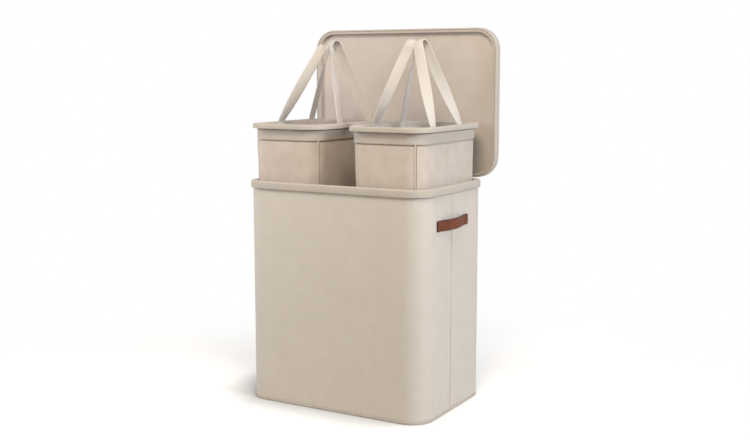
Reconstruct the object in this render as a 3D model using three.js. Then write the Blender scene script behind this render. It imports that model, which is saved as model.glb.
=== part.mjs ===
// A two-bin laundry hamper: a fabric covered stiff box with a capping rim, a hinged lid that
// stands open, and two lift-out bins held part way up by their webbing loops.
// Millimetres, +Z up. The origin is the middle of the underside, the wide front faces -Y.
import * as THREE from 'three';

// Body
const bodyWidth = 560;
const bodyDepth = 384;
const bodyCornerRadius = 62;
const rimTopHeight = 620;
const coverThickness = 1.5;
const wallBoardThickness = 5;
const liningThickness = 1.2;
const touchGap = 0.3;

// Capping rim
const rimHeight = 22;
const rimOverhang = 5.5;
const rimInnerThickness = 4;
const rimCapThickness = 9;
const rimOuterRound = 3;
const rimInnerRound = 2.5;

// Base
const bindingHeight = 8;
const bindingProud = 1.2;
const bindingRound = 3;
const baseCoverThickness = 1.5;
const baseBoardThickness = 5.9;

// Seam down each side, a little in front of its middle
const sideSeamForward = 24;
const weltWidth = 4;
const weltThickness = 0.8;

// Leather handles, centred on the side seams
const leatherLength = 186;
const leatherWidth = 29;
const leatherThickness = 3;
const leatherBow = 12;
const leatherSewnLength = 22;
const leatherBelowRimTop = 100;

// Lid, standing upright behind the rim
const lidClearance = 2;
const lidFrameWidth = 12;
const lidThickness = 26;
const lidRecessDepth = 13;
const lidCornerRadius = 62;
const lidFrameRound = 2.5;
const lidCoverThickness = 1.5;
const lidLiningThickness = 1;

// Fabric hinge
const hingeLeafThickness = 1.2;
const hingeLength = 440;
const hingeLidLeafWidth = 20;
const hingeBodyLeafHeight = 16;
const hingeFoldGap = 0.8;
const hingeDrop = 1;

// Bins
const binSeatInset = 7;
const binMiddleGap = 68;
const binLift = 145;
const binRimThickness = 13;
const binRimRound = 3;
const binRunningGap = 1;
const cuffThickness = 2;
const cuffHeight = 30;
const bagThickness = 2;
const bagFloorClearance = 11;
const bagTaper = 10;
const bandThickness = 5;
const binBoardThickness = 4;

// Webbing loops. Leans are in degrees. Each back share says how far back of the side wall's middle a
// loop sits, out of the straight room that it has.
const webbingWidth = 29;
const webbingThickness = 2.4;
const webbingEndThickness = 1.2;
const webbingFootSpacing = 160;
const loopLength = 238;
const loopApexRadius = 22;
const leftOuterLean = 26;
const leftInnerLean = 18;
const rightInnerLean = 19;
const rightOuterLean = 20;
const leftOuterBackShare = 1;
const leftInnerBackShare = 1;
const rightInnerBackShare = 0.85;
const rightOuterBackShare = -0.4;
const loopFootGap = 0.85;
const tabThickness = 1.5;

const cornerSteps = 8;
const roundSteps = 3;
const bowSteps = 12;
const legSteps = 8;
const apexSteps = 8;

const fabric = { color: 0xc9bfb1, roughness: 0.95, metalness: 0 };
const innerFabric = { color: 0xcfc3b5, roughness: 0.95, metalness: 0 };
const board = { color: 0xb39b7c, roughness: 0.9, metalness: 0 };
const leather = { color: 0x7d4634, roughness: 0.55, metalness: 0 };
const webbing = { color: 0xefe7dc, roughness: 0.9, metalness: 0 };

// Heights and places that several pieces share
const wallThickness = coverThickness + wallBoardThickness + liningThickness + 2 * touchGap;
const rimInset = wallThickness + touchGap + rimInnerThickness;
const rimBottom = rimTopHeight - rimHeight;
const leatherMiddleHeight = rimTopHeight - leatherBelowRimTop;
const wallTop = rimTopHeight - rimCapThickness - touchGap;
const wallBottom = bindingHeight + touchGap;
const floorLiningTop = wallBottom + liningThickness;
const halfWidth = bodyWidth / 2;
const halfDepth = bodyDepth / 2;
const lidFrontFace = halfDepth + rimOverhang + lidClearance + lidFrameWidth;
const lidBottom = rimTopHeight - hingeDrop;
const lidHalfWidth = halfWidth + rimOverhang + lidClearance + lidFrameWidth;
const lidHalfHeight = halfDepth + rimOverhang + lidClearance + lidFrameWidth;
const binHalfDepth = halfDepth + rimOverhang - binSeatInset;
const binOuterEdge = halfWidth + rimOverhang - binSeatInset;
const binWidth = binOuterEdge - binMiddleGap / 2;
const binMiddle = binOuterEdge - binWidth / 2;
const binCornerRadius = bodyCornerRadius + rimOverhang - binSeatInset;
const binRimBottom = rimTopHeight + binLift;
const binRimTop = binRimBottom + binRimThickness;
const cuffInset = rimInset + binRunningGap + rimOverhang - binSeatInset;
const bagInset = cuffInset + cuffThickness + touchGap;
const bagTop = binRimBottom - touchGap;
const bagBottom = floorLiningTop + bagFloorClearance + binLift;
const bagInnerInset = bagInset + bagThickness;
const bandInset = bagInnerInset + touchGap;
const binInnerInset = bandInset + bandThickness;
const loopInset = binInnerInset + touchGap + tabThickness / 2;
const loopShiftRoom = binHalfDepth - binCornerRadius - (webbingFootSpacing + webbingWidth) / 2;
const sideSeamPlace = -sideSeamForward;

const product = new THREE.Group();

function addPiece(name, geometry, finish, parent = product) {
  const mesh = new THREE.Mesh(geometry, new THREE.MeshStandardMaterial(finish));
  mesh.name = name;
  parent.add(mesh);
  return mesh;
}

// A rounded rectangle as stations, each the centre of its arc and the way out. It starts at the
// middle of the +X side and runs by the back, so half of it is one half of the walls.
function roundedOutline(halfX, halfY, radius) {
  const stations = [];
  const addSideMiddle = (side) => stations.push({ x: side * (halfX - radius), y: 0, nx: side, ny: 0 });
  const addCorner = (sideX, sideY, startTurn) => {
    for (let step = 0; step <= cornerSteps; step++) {
      const turn = startTurn + (Math.PI / 2) * (step / cornerSteps);
      const x = sideX * (halfX - radius);
      stations.push({ x, y: sideY * (halfY - radius), nx: Math.cos(turn), ny: Math.sin(turn) });
    }
  };
  addSideMiddle(1);
  addCorner(1, 1, 0);
  addCorner(-1, 1, Math.PI / 2);
  addSideMiddle(-1);
  addCorner(-1, -1, Math.PI);
  addCorner(1, -1, 1.5 * Math.PI);
  return { stations, radius };
}

// The back or front half of an outline, ended a little short of the seam on each side.
function halfOutline(outline, side, shortening) {
  const middle = outline.stations.length / 2;
  const { stations } = outline;
  const half = side > 0 ? stations.slice(0, middle + 1) : [...stations.slice(middle), stations[0]];
  const ends = half.map((station) => ({ ...station }));
  const end = sideSeamPlace + side * shortening;
  ends[0].y = end;
  ends[ends.length - 1].y = end;
  return { stations: ends, radius: outline.radius };
}

// A solid from a profile of [way out, height] points carried along an outline. An open profile on
// a whole outline is closed by its first and last rings, as a plate or a cup is.
function sweep(outline, profile, { openPath = false, openProfile = false } = {}) {
  const { stations, radius } = outline;
  const rows = stations.length;
  const columns = profile.length;
  const positions = [];
  for (const { x, y, nx, ny } of stations) {
    for (const [out, height] of profile) {
      positions.push(x + nx * (radius + out), y + ny * (radius + out), height);
    }
  }
  const at = (row, column) => (row % rows) * columns + (column % columns);
  const faces = [];
  for (let row = 0; row < (openPath ? rows - 1 : rows); row++) {
    for (let column = 0; column < (openProfile ? columns - 1 : columns); column++) {
      const a = at(row, column);
      const b = at(row + 1, column);
      const c = at(row + 1, column + 1);
      const d = at(row, column + 1);
      faces.push([a, b, c], [a, c, d]);
    }
  }
  if (openProfile) {
    for (let row = 1; row < rows - 1; row++) {
      faces.push([at(0, 0), at(row + 1, 0), at(row, 0)]);
      faces.push([at(0, columns - 1), at(row, columns - 1), at(row + 1, columns - 1)]);
    }
  }
  if (openPath) {
    const flat = profile.map(([out, height]) => new THREE.Vector2(out, height));
    const turned = THREE.ShapeUtils.isClockWise(flat) ? -1 : 1;
    for (const [a, b, c] of THREE.ShapeUtils.triangulateShape(flat, [])) {
      const cap = turned > 0 ? [a, b, c] : [a, c, b];
      faces.push([at(0, cap[0]), at(0, cap[1]), at(0, cap[2])]);
      faces.push([at(rows - 1, cap[0]), at(rows - 1, cap[2]), at(rows - 1, cap[1])]);
    }
  }
  return closedGeometry(positions, faces);
}

// Turns a closed set of faces so that they all point out.
function closedGeometry(positions, faces) {
  let volume = 0;
  const point = (index) => new THREE.Vector3().fromArray(positions, index * 3);
  for (const [a, b, c] of faces) volume += point(a).dot(point(b).cross(point(c)));
  const index = faces.flatMap(([a, b, c]) => (volume < 0 ? [a, c, b] : [a, b, c]));
  const geometry = new THREE.BufferGeometry();
  geometry.setAttribute('position', new THREE.Float32BufferAttribute(positions, 3));
  geometry.setIndex(index);
  return geometry;
}

// Points of a rounded corner of a profile, from one tangent point to the other.
function rounding(centreOut, centreHeight, radius, startTurn, endTurn) {
  return Array.from({ length: roundSteps + 1 }, (_, step) => {
    const turn = startTurn + (endTurn - startTurn) * (step / roundSteps);
    return [centreOut + radius * Math.cos(turn), centreHeight + radius * Math.sin(turn)];
  });
}

function rectangle(inner, outer, bottom, top) {
  return [[inner, bottom], [outer, bottom], [outer, top], [inner, top]];
}

const bodyOutline = roundedOutline(halfWidth, halfDepth, bodyCornerRadius);

// Underside fabric, base board and the rolled binding round the bottom edge
function addBase() {
  const innerEdge = -(wallThickness + touchGap);
  const boardBottom = baseCoverThickness + touchGap;
  const edge = (bottom, top) => [[innerEdge, bottom], [innerEdge, top]];
  const plate = (bottom, top) => sweep(bodyOutline, edge(bottom, top), { openProfile: true });
  addPiece('base_cover', plate(0, baseCoverThickness), fabric);
  addPiece('base_board', plate(boardBottom, boardBottom + baseBoardThickness), board);
  addPiece('floor_lining', plate(wallBottom, floorLiningTop), innerFabric);
  const binding = [
    [-wallThickness, 0],
    ...rounding(bindingProud - bindingRound, bindingRound, bindingRound, -Math.PI / 2, 0),
    ...rounding(bindingProud - bindingRound, bindingHeight - bindingRound, bindingRound, 0, Math.PI / 2),
    [-wallThickness, bindingHeight],
  ];
  addPiece('base_binding', sweep(bodyOutline, binding), fabric);
}

// Stiff wall boards and the outer cover, each in a back and a front half, and the lining sleeve
function addWalls() {
  const boardOuter = -(coverThickness + touchGap);
  const boardProfile = rectangle(boardOuter - wallBoardThickness, boardOuter, wallBottom, wallTop);
  const coverProfile = rectangle(-coverThickness, 0, wallBottom, wallTop);
  for (const [half, side] of [['back', 1], ['front', -1]]) {
    const path = halfOutline(bodyOutline, side, touchGap / 2);
    addPiece(`${half}_wall_board`, sweep(path, boardProfile, { openPath: true }), board);
    addPiece(`${half}_outer_cover`, sweep(path, coverProfile, { openPath: true }), fabric);
  }
  const liningOuter = boardOuter - wallBoardThickness - touchGap;
  const lining = rectangle(liningOuter - liningThickness, liningOuter, wallBottom, wallTop);
  addPiece('wall_lining', sweep(bodyOutline, lining), innerFabric);
}

// The capping rim is a channel that sits over the top edge of the walls
function addTopRim() {
  const outer = rimOverhang;
  const inner = -rimInset;
  const profile = [
    [touchGap, rimBottom],
    [outer, rimBottom],
    ...rounding(outer - rimOuterRound, rimTopHeight - rimOuterRound, rimOuterRound, 0, Math.PI / 2),
    ...rounding(inner + rimInnerRound, rimTopHeight - rimInnerRound, rimInnerRound, Math.PI / 2, Math.PI),
    [inner, rimBottom],
    [-(wallThickness + touchGap), rimBottom],
    [-(wallThickness + touchGap), wallTop + touchGap],
    [touchGap, wallTop + touchGap],
  ];
  addPiece('top_rim', sweep(bodyOutline, profile), fabric);
}

// The side seam's welt and the bowed leather handle, for one side
function addSideTrim(name, side) {
  const weltHeight = rimBottom - touchGap - wallBottom;
  const welt = new THREE.BoxGeometry(weltThickness, weltWidth, weltHeight);
  const weltMesh = addPiece(`${name}_seam_welt`, welt, fabric);
  const weltMiddle = halfWidth + touchGap + weltThickness / 2;
  weltMesh.position.set(side * weltMiddle, sideSeamPlace, wallBottom + weltHeight / 2);

  const bowHalf = leatherLength / 2 - leatherSewnLength;
  const bowAt = (along) => (leatherBow / 2) * (1 + Math.cos((Math.PI * along) / bowHalf));
  const stations = [-leatherLength / 2];
  for (let step = 0; step <= bowSteps; step++) stations.push(bowHalf * ((2 * step) / bowSteps - 1));
  stations.push(leatherLength / 2);
  const outAt = (along) => (Math.abs(along) < bowHalf ? bowAt(along) : 0);
  const inside = stations.map((along) => new THREE.Vector2(outAt(along), along));
  const outside = stations.map((along) => new THREE.Vector2(outAt(along) + leatherThickness, along));
  const strap = new THREE.Shape([...inside, ...outside.reverse()]);
  const geometry = new THREE.ExtrudeGeometry(strap, { depth: leatherWidth, bevelEnabled: false });
  const holder = new THREE.Group();
  holder.rotation.z = side > 0 ? 0 : Math.PI;
  holder.position.y = sideSeamPlace;
  product.add(holder);
  const handle = addPiece(`${name}_leather_handle`, geometry, leather, holder);
  handle.position.set(halfWidth + touchGap, 0, leatherMiddleHeight - leatherWidth / 2);
}

// The lid lies in its own plane, thickness from its inner face, and is turned to stand upright
function addLid() {
  const lid = new THREE.Group();
  lid.rotation.x = -Math.PI / 2;
  lid.position.set(0, lidFrontFace, lidBottom + lidHalfHeight);
  product.add(lid);
  const outline = roundedOutline(lidHalfWidth, lidHalfHeight, lidCornerRadius);
  const frameBack = lidThickness - lidCoverThickness - touchGap;
  const frame = [
    [-lidFrameWidth, frameBack],
    ...rounding(lidFrameRound - lidFrameWidth, lidFrameRound, lidFrameRound, Math.PI, 1.5 * Math.PI),
    ...rounding(-lidFrameRound, lidFrameRound, lidFrameRound, -Math.PI / 2, 0),
    [0, frameBack],
  ];
  addPiece('lid_frame', sweep(outline, frame), fabric, lid);
  const panelEdge = -(lidFrameWidth + touchGap);
  const plate = (edge, near, far) => sweep(outline, [[edge, near], [edge, far]], { openProfile: true });
  const liningBack = lidRecessDepth + lidLiningThickness;
  addPiece('lid_lining', plate(panelEdge, lidRecessDepth, liningBack), innerFabric, lid);
  addPiece('lid_board', plate(panelEdge, liningBack + touchGap, frameBack), board, lid);
  addPiece('lid_outer_cover', plate(0, frameBack + touchGap, lidThickness), fabric, lid);
}

// The fabric hinge in two leaves, which meet on the hinge line behind the rim
function addHinge() {
  const hingeHeight = lidBottom - hingeLeafThickness / 2 - touchGap;
  const leafTop = hingeHeight + hingeLeafThickness / 2;
  const leafBottom = leafTop - hingeLeafThickness;
  const rimBack = halfDepth + rimOverhang + touchGap;
  const leafEnd = lidFrontFace - hingeFoldGap;
  const bodyLeaf = new THREE.Shape([
    new THREE.Vector2(rimBack, leafTop - hingeBodyLeafHeight),
    new THREE.Vector2(rimBack + hingeLeafThickness, leafTop - hingeBodyLeafHeight),
    new THREE.Vector2(rimBack + hingeLeafThickness, leafBottom),
    new THREE.Vector2(leafEnd, leafBottom),
    new THREE.Vector2(leafEnd, leafTop),
    new THREE.Vector2(rimBack, leafTop),
  ]);
  const geometry = new THREE.ExtrudeGeometry(bodyLeaf, { depth: hingeLength, bevelEnabled: false });
  const bodyMesh = addPiece('hinge_body_leaf', geometry, fabric);
  const alongY = new THREE.Vector3(0, 1, 0);
  const alongZ = new THREE.Vector3(0, 0, 1);
  const sectionToSide = new THREE.Matrix4().makeBasis(alongY, alongZ, new THREE.Vector3(1, 0, 0));
  bodyMesh.quaternion.setFromRotationMatrix(sectionToSide);
  bodyMesh.position.x = -hingeLength / 2;
  const lidLeaf = new THREE.BoxGeometry(hingeLength, hingeLidLeafWidth, hingeLeafThickness);
  const lidMesh = addPiece('hinge_lid_leaf', lidLeaf, fabric);
  lidMesh.position.set(0, lidFrontFace + hingeLidLeafWidth / 2, hingeHeight);
}

// One webbing loop, standing on its feet in its own frame: it is flat against the wall at the
// feet and turns to lie across at the top.
function loopGeometry() {
  const footY = webbingFootSpacing / 2;
  const legAngle = Math.atan2(loopLength - loopApexRadius, footY - loopApexRadius);
  const arcCentre = loopLength - loopApexRadius;
  const arcStart = Math.PI / 2 - legAngle;
  const legTop = [loopApexRadius * Math.cos(arcStart), arcCentre + loopApexRadius * Math.sin(arcStart)];
  const half = [];
  for (let step = 0; step < legSteps; step++) {
    const share = step / legSteps;
    half.push([footY + (legTop[0] - footY) * share, legTop[1] * share]);
  }
  for (let step = 0; step < apexSteps / 2; step++) {
    const turn = arcStart + (Math.PI / 2 - arcStart) * (step / (apexSteps / 2));
    half.push([loopApexRadius * Math.cos(turn), arcCentre + loopApexRadius * Math.sin(turn)]);
  }
  const mirrored = half.map(([y, z]) => [-y, z]);
  const route = [...mirrored, [0, loopLength], ...half.reverse()];
  const middle = (route.length - 1) / 2;
  const positions = [];
  route.forEach(([y, z], place) => {
    const before = route[Math.max(place - 1, 0)];
    const after = route[Math.min(place + 1, route.length - 1)];
    const tangent = new THREE.Vector3(0, after[0] - before[0], after[1] - before[1]).normalize();
    const fromFoot = 1 - Math.abs(place - middle) / middle;
    const twist = (Math.PI / 2) * Math.sin((Math.PI / 2) * fromFoot);
    const across = new THREE.Vector3(Math.sin(twist), Math.cos(twist), 0);
    const through = tangent.clone().cross(across).normalize();
    const thickness = place === 0 || place === route.length - 1 ? webbingEndThickness : webbingThickness;
    for (const [sideShare, faceShare] of [[-1, -1], [1, -1], [1, 1], [-1, 1]]) {
      const corner = new THREE.Vector3(0, y, z);
      corner.addScaledVector(across, (sideShare * webbingWidth) / 2);
      corner.addScaledVector(through, (faceShare * thickness) / 2);
      positions.push(...corner.toArray());
    }
  });
  const faces = [[0, 2, 1], [0, 3, 2]];
  const last = (route.length - 1) * 4;
  faces.push([last, last + 1, last + 2], [last, last + 2, last + 3]);
  for (let place = 0; place < route.length - 1; place++) {
    for (let corner = 0; corner < 4; corner++) {
      const a = place * 4 + corner;
      const b = place * 4 + ((corner + 1) % 4);
      faces.push([a, b, b + 4], [a, b + 4, a + 4]);
    }
  }
  return closedGeometry(positions, faces);
}

// One bin: flanged rim, cuff, tapered bag, stiffening band inside its top, base board, sewn tabs and
// two webbing loops, which lean towards each other. A loop is given as [lean, back share].
function addBin(name, side, outerLoop, innerLoop) {
  const bin = new THREE.Group();
  bin.position.x = side * binMiddle;
  product.add(bin);
  const outline = roundedOutline(binWidth / 2, binHalfDepth, binCornerRadius);

  const flange = [
    [-binInnerInset, binRimBottom],
    [-binRimRound / 2, binRimBottom],
    [0, binRimBottom + binRimRound / 2],
    ...rounding(-binRimRound, binRimTop - binRimRound, binRimRound, 0, Math.PI / 2),
    [-binInnerInset, binRimTop],
  ];
  addPiece(`${name}_rim`, sweep(outline, flange), fabric, bin);
  const cuff = rectangle(-(cuffInset + cuffThickness), -cuffInset, bagTop - cuffHeight, bagTop);
  addPiece(`${name}_cuff`, sweep(outline, cuff), fabric, bin);

  const cuffBottom = bagTop - cuffHeight;
  const band = rectangle(-binInnerInset, -bandInset, cuffBottom, bagTop);
  addPiece(`${name}_stiffening_band`, sweep(outline, band), board, bin);
  const bag = [
    [-(bagInset + bagTaper), bagBottom],
    [-bagInset, cuffBottom],
    [-bagInset, bagTop],
    [-bagInnerInset, bagTop],
    [-bagInnerInset, cuffBottom],
    [-(bagInnerInset + bagTaper), bagBottom + bagThickness],
  ];
  addPiece(`${name}_bag`, sweep(outline, bag, { openProfile: true }), innerFabric, bin);
  const boardEdge = -(bagInnerInset + bagTaper + touchGap);
  const boardBottom = bagBottom + bagThickness + touchGap;
  const boardProfile = [[boardEdge, boardBottom], [boardEdge, boardBottom + binBoardThickness]];
  addPiece(`${name}_base_board`, sweep(outline, boardProfile, { openProfile: true }), board, bin);

  for (const [place, outward, shape] of [['outer', side, outerLoop], ['inner', -side, innerLoop]]) {
    const [lean, backShare] = shape;
    const footX = outward * (binWidth / 2 - loopInset);
    const middleY = backShare * loopShiftRoom;
    const loop = addPiece(`${name}_${place}_loop`, loopGeometry(), webbing, bin);
    loop.position.set(footX, middleY, binRimTop + loopFootGap);
    loop.rotation.y = -outward * THREE.MathUtils.degToRad(lean);
    for (const [end, along] of [['front', -1], ['back', 1]]) {
      const tabLength = binRimThickness + touchGap + cuffHeight;
      const tab = new THREE.BoxGeometry(tabThickness, webbingWidth, tabLength);
      const tabMesh = addPiece(`${name}_${place}_${end}_tab`, tab, webbing, bin);
      const tabY = middleY + (along * webbingFootSpacing) / 2;
      tabMesh.position.set(footX, tabY, binRimTop - tabLength / 2);
    }
  }
}

addBase();
addWalls();
addTopRim();
addSideTrim('left', -1);
addSideTrim('right', 1);
addLid();
addHinge();
const leftOuterLoop = [leftOuterLean, leftOuterBackShare];
const leftInnerLoop = [leftInnerLean, leftInnerBackShare];
const rightInnerLoop = [rightInnerLean, rightInnerBackShare];
const rightOuterLoop = [rightOuterLean, rightOuterBackShare];
addBin('left_bin', -1, leftOuterLoop, leftInnerLoop);
addBin('right_bin', 1, rightOuterLoop, rightInnerLoop);

export default product;
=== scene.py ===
import math

import bmesh
import bpy
from mathutils import Matrix, Vector, noise


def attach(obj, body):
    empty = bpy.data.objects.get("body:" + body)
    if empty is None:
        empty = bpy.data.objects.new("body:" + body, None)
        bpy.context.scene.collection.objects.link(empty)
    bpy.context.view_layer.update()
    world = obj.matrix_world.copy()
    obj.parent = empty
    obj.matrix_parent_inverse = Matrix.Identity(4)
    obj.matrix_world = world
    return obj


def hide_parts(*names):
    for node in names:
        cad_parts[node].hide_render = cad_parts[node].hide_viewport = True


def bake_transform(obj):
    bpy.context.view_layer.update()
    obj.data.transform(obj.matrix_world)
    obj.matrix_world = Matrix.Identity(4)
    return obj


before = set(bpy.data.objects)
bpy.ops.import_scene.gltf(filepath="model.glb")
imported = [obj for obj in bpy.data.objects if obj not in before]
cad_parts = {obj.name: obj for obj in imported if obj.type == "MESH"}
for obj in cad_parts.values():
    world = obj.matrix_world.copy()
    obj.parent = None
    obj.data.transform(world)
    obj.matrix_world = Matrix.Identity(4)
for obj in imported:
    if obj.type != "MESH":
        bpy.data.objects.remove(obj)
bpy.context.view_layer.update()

mm = 0.001  # every size below is in millimetres and is multiplied by this

# What several pieces share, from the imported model
body = {"halfX": 280 * mm, "halfY": 192 * mm, "corner": 62 * mm, "rimTop": 620 * mm, "rimBottom": 600.5 * mm,
        "seamY": -24 * mm}
binShape = {"halfX": 122.25 * mm, "halfY": 190.5 * mm, "corner": 60.5 * mm, "middleX": 156.25 * mm,
            "rimBottom": 765 * mm, "rimTop": 778 * mm, "cuffBottom": 734.7 * mm, "bagBottom": 165.5 * mm}
lid = {"halfX": 299.5 * mm, "halfY": 211.5 * mm, "corner": 62 * mm, "frontY": 211.5 * mm, "bottom": 619 * mm}
meshCells = {"wall": 14 * mm, "sheet": 12 * mm, "bag": 9 * mm}  # how finely long faces are divided
gap = 0.3 * mm  # between two pieces that touch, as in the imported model


def outline(shape, outset=0.0):  # half its length, half its width and its corner's radius, all grown by the outset
    return shape["halfX"] + outset, shape["halfY"] + outset, shape["corner"] + outset


# Small tools

def startFresh():
    if bpy.context.object and bpy.context.object.mode != "OBJECT":
        bpy.ops.object.mode_set(mode="OBJECT")
    bpy.ops.object.select_all(action="DESELECT")


def workOn(piece):
    startFresh()
    piece.select_set(True)
    bpy.context.view_layer.objects.active = piece


def settle(piece):  # the place, turn and size go into the mesh
    workOn(piece)
    bpy.ops.object.transform_apply(location=True, rotation=True, scale=True)


def pick(piece, kind, test):  # goes into edit mode and selects the faces or edges that pass the test
    workOn(piece)
    bpy.ops.object.mode_set(mode="EDIT")
    bpy.ops.mesh.select_mode(type=kind)
    bpy.ops.mesh.select_all(action="DESELECT")
    mesh = bmesh.from_edit_mesh(piece.data)
    if kind == "FACE":
        chosen = [face for face in mesh.faces if test(face.calc_center_median(), face.normal)]
    else:
        chosen = []
        for edge in mesh.edges:
            a, b = (corner.co for corner in edge.verts)
            if test((a + b) / 2, b - a):
                chosen.append(edge)
    for item in chosen:
        item.select_set(True)
    bmesh.update_edit_mesh(piece.data)


def editAll(piece):  # goes into edit mode with everything selected
    workOn(piece)
    bpy.ops.object.mode_set(mode="EDIT")
    bpy.ops.mesh.select_all(action="SELECT")


def leave():
    bpy.ops.object.mode_set(mode="OBJECT")


def applied(piece, kind, **settings):  # adds a modifier and applies it
    workOn(piece)
    bpy.ops.object.modifier_add(type=kind)
    modifier = piece.modifiers[-1]
    for name, value in settings.items():
        setattr(modifier, name, value)
    bpy.ops.object.modifier_apply(modifier=modifier.name)


def thickened(piece, thickness, offset=-1):  # walls grow inwards at an even thickness, flat sheets up or both ways
    applied(piece, "SOLIDIFY", thickness=thickness, offset=offset, use_even_offset=offset < 0)


def bevelled(piece, width, segments, degrees=50):
    applied(piece, "BEVEL", width=width, segments=segments, limit_method="ANGLE",
            angle_limit=math.radians(degrees))


def smoothed(piece, degrees=40):
    workOn(piece)
    bpy.ops.object.shade_smooth_by_angle(angle=math.radians(degrees))
    return piece


def roundedBlock(name, halfX, halfY, corner, bottom, top, middleX=0.0, steps=12):
    startFresh()
    bpy.ops.mesh.primitive_cube_add(size=1, location=(middleX, 0, (bottom + top) / 2))
    piece = bpy.context.object
    piece.name = piece.data.name = name
    piece.scale = (2 * halfX, 2 * halfY, top - bottom)
    settle(piece)
    pick(piece, "EDGE", lambda middle, along: abs(along.normalized().z) > 0.9)
    bpy.ops.mesh.bevel(offset=corner, segments=steps, affect="EDGES")
    leave()
    return piece


def openEnds(piece, ends=(-1, 1)):  # takes off the flat faces that look down (-1) and up (1)
    pick(piece, "FACE", lambda middle, normal: any(normal.z * end > 0.9 for end in ends))
    bpy.ops.mesh.delete(type="FACE")
    leave()


def addRows(piece, cuts):
    pick(piece, "EDGE", lambda middle, along: abs(along.normalized().z) > 0.9)
    bpy.ops.mesh.subdivide(number_cuts=cuts)
    leave()


def cutLevel(piece, heights):  # an edge all round at each height
    editAll(piece)
    for height in heights:
        bpy.ops.mesh.select_all(action="SELECT")
        bpy.ops.mesh.bisect(plane_co=(0, 0, height), plane_no=(0, 0, 1))
    leave()


def cutStraights(piece, halfX, halfY, corner, cell):  # divides the straight stretches round a rounded outline
    for length in sorted({2 * (halfX - corner), 2 * (halfY - corner)}):
        pick(piece, "EDGE", lambda middle, along: abs(along.z) < 0.001 * mm
             and abs(along.length - length) < 0.01 * mm)
        bpy.ops.mesh.subdivide(number_cuts=round(length / cell))
        leave()


def wallBand(name, halfX, halfY, corner, bottom, top, rows, middleX=0.0):
    piece = roundedBlock(name, halfX, halfY, corner, bottom, top, middleX)
    openEnds(piece)
    cutStraights(piece, halfX, halfY, corner, meshCells["wall"])
    addRows(piece, rows - 1)
    return piece


def hollowRing(name, halfX, halfY, corner, bottom, top, wall, edgeRound, roundSteps, middleX=0.0):
    piece = roundedBlock(name, halfX, halfY, corner, bottom, top, middleX)
    openEnds(piece)
    thickened(piece, wall)
    bevelled(piece, edgeRound, roundSteps)
    return smoothed(piece)


def outerRounding(radius, steps=4):  # (inward, down) steps over the edge from a wall on to a flat face
    turns = [math.pi / 2 * step / steps for step in range(steps + 1)]
    return [(radius * (math.cos(a) - math.cos(b)), radius * (math.sin(a) - math.sin(b)))
            for a, b in zip(turns, turns[1:])]


def innerRounding(radius, steps=4):  # and from the flat face down into a hollow
    turns = [math.pi / 2 * step / steps for step in range(steps + 1)]
    return [(radius * (math.sin(b) - math.sin(a)), radius * (math.cos(a) - math.cos(b)))
            for a, b in zip(turns, turns[1:])]


def workFace(piece, facing, steps):  # sets the top (1) or bottom (-1) face in, step by step
    pick(piece, "FACE", lambda middle, normal: normal.z * facing > 0.99)
    for inward, down in steps:
        if inward > 0.0001 * mm:
            bpy.ops.mesh.inset(thickness=inward, depth=-down)
        else:
            bpy.ops.mesh.extrude_region_move(TRANSFORM_OT_translate={"value": (0, 0, -down * facing)})


def solidRing(name, halfX, halfY, corner, bottom, top, width, shown, profile, firstRound, backRound=0.0,
              middleX=0.0):
    # A ring with a finished face: the profile runs from the outer edge of that face into the hollow
    low = bottom + (firstRound if shown < 0 else backRound)
    high = top - (firstRound if shown > 0 else backRound)
    piece = roundedBlock(name, halfX, halfY, corner, low, high, middleX, steps=14)
    depth = top - bottom - sum(down for inward, down in profile) - firstRound
    workFace(piece, shown, profile + [(0, depth)])
    bpy.ops.mesh.delete(type="FACE")
    leave()
    back = outerRounding(backRound, 3) if backRound else []
    workFace(piece, -shown, back + [(width - backRound, 0)])
    bpy.ops.mesh.delete(type="FACE")
    bpy.ops.mesh.select_all(action="SELECT")
    bpy.ops.mesh.remove_doubles(threshold=0.02 * mm)
    leave()
    return smoothed(piece)


def roundedSheet(name, halfX, halfY, corner, height, middleX=0.0):
    startFresh()
    across, along = (round(2 * half / meshCells["sheet"]) for half in (halfX, halfY))
    bpy.ops.mesh.primitive_grid_add(x_subdivisions=across, y_subdivisions=along, size=2, location=(0, 0, 0))
    piece = bpy.context.object
    piece.name = piece.data.name = name
    for point in piece.data.vertices:
        x, y = point.co.x * halfX, point.co.y * halfY
        overX, overY = abs(x) - (halfX - corner), abs(y) - (halfY - corner)
        if overX > 0 and overY > 0:  # the square corner is drawn in to a round one
            share = max(overX, overY) / math.hypot(overX, overY)
            x = math.copysign(halfX - corner + overX * share, x)
            y = math.copysign(halfY - corner + overY * share, y)
        point.co = (middleX + x, y, height)
    piece.data.update()
    return piece


def moved(piece, place):  # moves every point to where place(point) says
    for point in piece.data.vertices:
        point.co = place(point.co.copy())
    piece.data.update()


def outwards(point, halfX, halfY, corner, middleX=0.0):  # which way is out, level, at a point near a wall
    coreX = max(-(halfX - corner), min(halfX - corner, point.x - middleX))
    coreY = max(-(halfY - corner), min(halfY - corner, point.y))
    way = Vector((point.x - middleX - coreX, point.y - coreY, 0))
    return way.normalized() if way.length > 0.001 * mm else Vector((0, 0, 0))


def fromOutline(point, halfX, halfY, corner, middleX=0.0):  # how far in from a rounded outline a point is
    overX = max(0.0, abs(point.x - middleX) - (halfX - corner))
    overY = max(0.0, abs(point.y) - (halfY - corner))
    return corner - math.hypot(overX, overY)


def standUp(piece):  # the lid is made lying flat, its face down, and is stood up behind the rim
    piece.rotation_euler = (-math.pi / 2, 0, 0)
    piece.location = (0, lid["frontY"], lid["bottom"] + lid["halfY"])
    settle(piece)


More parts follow.
